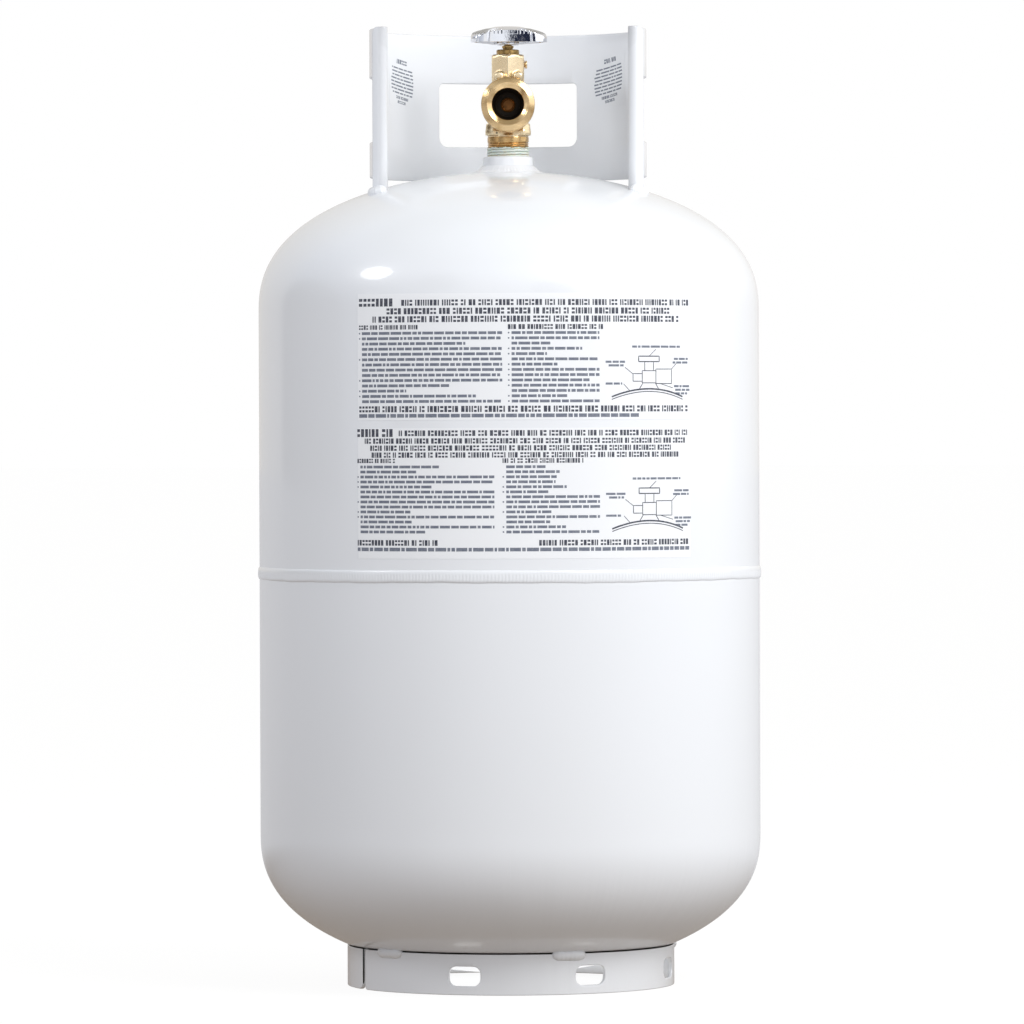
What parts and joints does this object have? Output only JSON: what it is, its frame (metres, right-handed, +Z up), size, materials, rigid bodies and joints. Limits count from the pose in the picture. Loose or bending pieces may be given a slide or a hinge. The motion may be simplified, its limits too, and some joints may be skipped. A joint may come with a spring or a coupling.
{
  "type": "propane tank",
  "caption": "Upright refillable gas cylinder with a guard collar, a slotted foot ring and a brass valve with a handwheel and a threaded outlet.",
  "frame": {"origin": "centre of the foot ring's underside, on the cylinder's axis", "axes": "+Z up along the cylinder's axis; -Y is the front, where the valve outlet and the collar's opening face; +X is to the right seen from the front"},
  "size_m": [0.314, 0.314, 0.5974],
  "materials": {
    "white_paint": "gloss",
    "brass": "satin",
    "chrome_plate": "polished",
    "steel": "satin",
    "black_rubber": "matte",
    "thread_tape": "matte",
    "nylon": "matte",
    "float_plastic": "matte",
    "printed_film": "satin"
  },
  "bodies": {
    "cylinder": {"upper_shell": "white_paint", "lower_shell": "white_paint", "girth_weld": "white_paint", "foot_ring": "white_paint", "foot_ring_weld_1": "white_paint", "foot_ring_weld_2": "white_paint", "foot_ring_weld_3": "white_paint", "foot_ring_weld_4": "white_paint", "foot_ring_weld_5": "white_paint", "collar": "white_paint", "collar_weld_front_left": "white_paint", "collar_weld_front_right": "white_paint", "collar_weld_rear_left": "white_paint", "collar_weld_rear_right": "white_paint", "valve_boss": "white_paint", "boss_weld": "white_paint", "front_decal_upper": "printed_film", "front_decal_lower": "printed_film", "collar_decal_left": "printed_film", "collar_decal_right": "printed_film", "valve_body": "brass", "packing_nut": "brass", "check_guide": "brass", "relief_adjuster": "brass", "dip_tube": "brass", "overfill_stop_housing": "brass", "thread_tape": "thread_tape", "stem_washer": "nylon", "stem_seal": "black_rubber", "outlet_seal": "black_rubber", "check_spring": "steel", "relief_spring": "steel", "float_pin": "steel"},
    "wheel_and_stem": {"stem": "brass", "handwheel": "chrome_plate", "handwheel_washer": "steel", "handwheel_screw": "steel"},
    "spindle": {"lower_spindle": "brass", "seat_disc": "black_rubber"},
    "outlet_check": {"check_poppet": "brass"},
    "relief_plug": {"relief_poppet": "brass", "relief_seal": "black_rubber"},
    "bleeder": {"bleeder_screw": "brass"},
    "float_and_arm": {"float_arm": "steel", "float": "float_plastic"},
    "stop_piston": {"overfill_stop_piston": "nylon"}
  },
  "joints": [
    {"name": "handwheel_turn", "type": "hinge", "parent": "cylinder", "child": "wheel_and_stem", "pos_m": [0, 0, 0.586], "axis": [0, 0, 1], "range_deg": [0, 540]},
    {"name": "spindle_lift", "type": "slide", "parent": "wheel_and_stem", "child": "spindle", "axis": [0, 0, 1], "range_m": [0, 0.0023]},
    {"name": "outlet_check_travel", "type": "slide", "parent": "cylinder", "child": "outlet_check", "axis": [0, 1, 0], "range_m": [0, 0.0025], "stiffness_N_per_m": 200, "springref_m": -0.003, "deforming": ["check_spring"]},
    {"name": "relief_lift", "type": "slide", "parent": "cylinder", "child": "relief_plug", "axis": [0, 1, 0], "range_m": [0, 0.002], "stiffness_N_per_m": 200, "springref_m": -0.004, "deforming": ["relief_spring"]},
    {"name": "bleeder_turn", "type": "hinge", "parent": "cylinder", "child": "bleeder", "pos_m": [0.0115, 0, 0.5735], "axis": [1, 0, 0], "range_deg": [0, 720]},
    {"name": "float_swing", "type": "hinge", "parent": "cylinder", "child": "float_and_arm", "pos_m": [-0.0015, 0.005, 0.472], "axis": [-1, 0, 0], "range_deg": [0, 45]},
    {"name": "stop_piston_lift", "type": "slide", "parent": "cylinder", "child": "stop_piston", "axis": [0, 0, 1], "range_m": [0, 0.0031]}
  ],
  "couplings": [
    {"joint": "spindle_lift", "follows": "handwheel_turn", "m_per_rad": 0.00023873},
    {"joint": "stop_piston_lift", "follows": "float_swing", "m_per_rad": 0.0038197}
  ]
}
